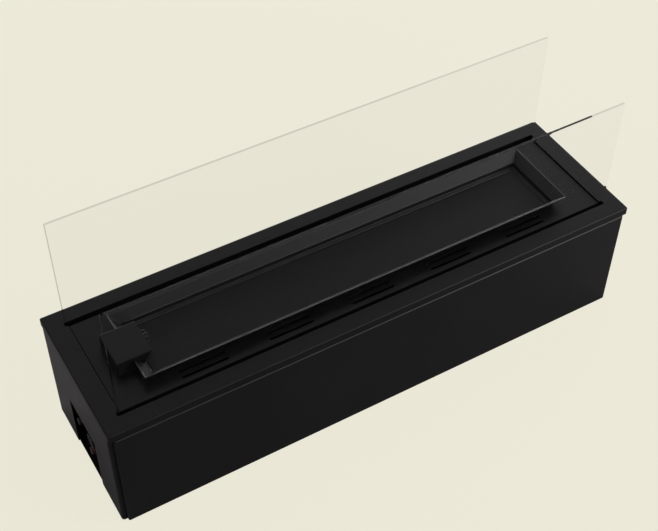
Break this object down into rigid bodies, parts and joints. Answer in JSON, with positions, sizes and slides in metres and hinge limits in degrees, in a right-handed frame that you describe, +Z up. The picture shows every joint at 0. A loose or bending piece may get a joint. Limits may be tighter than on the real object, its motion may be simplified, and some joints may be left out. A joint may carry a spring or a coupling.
{
  "type": "patio gas heater",
  "caption": "Long low patio gas heater: black sheet casing, flared burner tray with pilot hood, clear wind glass along both sides and gas controls behind an end notch.",
  "frame": {"origin": "centre of the base, on the surface that the casing stands on", "axes": "+X along the casing away from the controls, +Y to the back, +Z up"},
  "size_m": [0.9826, 0.2748, 0.4511],
  "materials": {
    "black_coat": "satin black powder coat",
    "zinc_steel": "zinc-coated sheet",
    "wind_glass": "clear toughened glass",
    "pad_rubber": "matt silicone",
    "brass": "turned brass",
    "copper": "drawn copper",
    "cast_alloy": "die-cast alloy",
    "bright_steel": "turned stainless steel",
    "grey_plastic": "moulded grey plastic",
    "pale_plastic": "moulded light grey plastic",
    "white_ceramic": "glazed ceramic",
    "lead_silicone": "silicone sleeve"
  },
  "bodies": {
    "housing": {"top_frame": "black_coat", "left_end_wall": "black_coat", "right_end_wall": "black_coat", "front_panel": "black_coat", "rear_panel": "black_coat", "floor_plate": "black_coat", "burner_deck": "black_coat", "burner_tray": "black_coat", "burner_plate": "black_coat", "pilot_hood": "black_coat", "front_glass_channel": "black_coat", "rear_glass_channel": "black_coat", "front_outer_glass_strip": "black_coat", "rear_outer_glass_strip": "black_coat", "front_inner_glass_strip": "black_coat", "rear_inner_glass_strip": "black_coat", "glass_end_stops": "black_coat", "control_plate": "black_coat", "left_frame_angle": "zinc_steel", "right_frame_angle": "zinc_steel", "front_frame_rail": "zinc_steel", "rear_frame_rail": "zinc_steel", "burner_plenum": "zinc_steel", "front_burner_hanger": "zinc_steel", "rear_burner_hanger": "zinc_steel", "mixer_tube": "zinc_steel", "injector_bracket": "zinc_steel", "plate_spacers": "zinc_steel", "pilot_bracket": "zinc_steel", "hood_screws": "zinc_steel", "front_glass_pads": "pad_rubber", "rear_glass_pads": "pad_rubber", "injector": "brass", "pipe_nuts": "brass", "inlet_union": "brass", "inlet_locknut": "brass", "valve_screws": "brass", "main_gas_pipe": "copper", "inlet_pipe": "copper", "thermocouple_lead": "copper", "gas_valve": "cast_alloy", "pilot_burner": "bright_steel", "thermocouple": "bright_steel", "igniter_nut": "bright_steel", "pilot_gas_pipe": "bright_steel", "igniter_body": "grey_plastic", "ignition_electrode": "white_ceramic", "ignition_lead": "lead_silicone"},
    "front_glass": {"front_glass": "wind_glass"},
    "rear_glass": {"rear_glass": "wind_glass"},
    "spindle_bush": {"spindle_bush": "brass"},
    "control_knob": {"control_knob": "grey_plastic", "valve_spindle": "bright_steel"},
    "igniter_button": {"igniter_button": "pale_plastic"}
  },
  "joints": [
    {"name": "front_glass_lift", "type": "slide", "parent": "housing", "child": "front_glass", "axis": [0, 0, 1], "range_m": [0, 0.06]},
    {"name": "rear_glass_lift", "type": "slide", "parent": "housing", "child": "rear_glass", "axis": [0, 0, 1], "range_m": [0, 0.06]},
    {"name": "knob_push", "type": "slide", "parent": "housing", "child": "spindle_bush", "axis": [1, 0, 0], "range_m": [0, 0.0035], "stiffness_N_per_m": 1500, "springref_m": -0.003},
    {"name": "knob_turn", "type": "hinge", "parent": "spindle_bush", "child": "control_knob", "pos_m": [-0.4813, -0.024, 0.0866], "axis": [-1, 0, 0], "range_deg": [0, 180]},
    {"name": "igniter_press", "type": "slide", "parent": "housing", "child": "igniter_button", "axis": [1, 0, 0], "range_m": [0, 0.006], "stiffness_N_per_m": 1200, "springref_m": -0.002}
  ]
}
